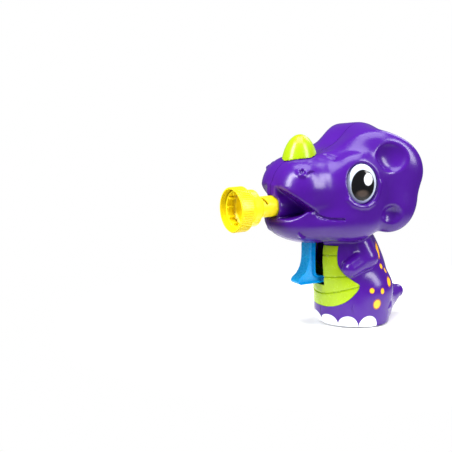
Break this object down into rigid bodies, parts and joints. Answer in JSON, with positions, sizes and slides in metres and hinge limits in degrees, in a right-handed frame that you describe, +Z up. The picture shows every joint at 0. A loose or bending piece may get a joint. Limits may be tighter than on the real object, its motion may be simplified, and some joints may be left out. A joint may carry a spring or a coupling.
{
  "type": "bubble machine",
  "caption": "Hand-squeezed bubble blower shaped as a small horned dinosaur: hinged trigger, gear train, fan, air duct and a flared nozzle in its mouth.",
  "frame": {"origin": "middle of the foot, on the base plate's resting face", "axes": "+Z up; the nozzle points to -Y; +X is the animal's left side; the shells part on the plane X = 0"},
  "size_m": [0.0728, 0.1259, 0.1243],
  "materials": {
    "purple_shell": "glossy injection-moulded plastic",
    "lime_trim": "glossy injection-moulded plastic",
    "yellow_nozzle": "satin injection-moulded plastic",
    "blue_trigger": "glossy injection-moulded plastic",
    "eye": "glossy plastic with a printed pupil",
    "nylon": "natural nylon",
    "grey_mechanism": "matte moulded plastic",
    "seal_rubber": "soft black rubber",
    "bush_brass": "sintered bush",
    "steel": "plain steel"
  },
  "bodies": {
    "housing": {"shell_left": "purple_shell", "shell_right": "purple_shell", "belly_panel": "lime_trim", "base_plate": "purple_shell", "horn": "lime_trim", "eye_left": "eye", "eye_right": "eye", "nozzle": "yellow_nozzle", "bubble_ring": "yellow_nozzle", "nozzle_seal": "seal_rubber", "air_duct": "grey_mechanism", "fan_housing": "grey_mechanism", "fan_cover": "grey_mechanism", "gear_plate": "grey_mechanism", "gear_axle_1": "steel", "gear_axle_2": "steel", "fan_bush_inner": "bush_brass", "fan_bush_outer": "bush_brass", "gear_screw_1": "steel", "gear_screw_2": "steel", "trigger_pin": "steel", "return_spring": "steel", "shell_screw_1": "steel", "shell_screw_2": "steel", "shell_screw_3": "steel", "shell_screw_4": "steel", "shell_screw_5": "steel", "shell_screw_6": "steel"},
    "trigger_arm": {"trigger": "blue_trigger", "sector_gear": "blue_trigger"},
    "first_gear": {"compound_gear_1": "nylon"},
    "second_gear": {"compound_gear_2": "nylon"},
    "fan": {"impeller": "nylon", "fan_shaft": "steel", "fan_pinion": "nylon"}
  },
  "joints": [
    {"name": "trigger_squeeze", "type": "hinge", "parent": "housing", "child": "trigger_arm", "pos_m": [0, -0.03, 0.064], "axis": [1, 0, 0], "range_deg": [0, 18], "stiffness_Nm_per_rad": 0.25, "springref_deg": -6.88, "deforming": ["return_spring"]},
    {"name": "first_gear_spin", "type": "hinge", "parent": "housing", "child": "first_gear", "pos_m": [0.0109, -0.00706, 0.08006], "axis": [1, 0, 0], "range_deg": [-120, 10]},
    {"name": "second_gear_spin", "type": "hinge", "parent": "housing", "child": "second_gear", "pos_m": [0.0134, -0.00851, 0.09599], "axis": [1, 0, 0], "range_deg": [-20, 340]},
    {"name": "fan_spin", "type": "hinge", "parent": "housing", "child": "fan", "pos_m": [0, -0.02, 0.088], "axis": [1, 0, 0], "range_deg": [-840, 30]}
  ],
  "couplings": [
    {"joint": "first_gear_spin", "follows": "trigger_squeeze", "ratio": -6},
    {"joint": "second_gear_spin", "follows": "trigger_squeeze", "ratio": 18},
    {"joint": "fan_spin", "follows": "trigger_squeeze", "ratio": -45}
  ]
}
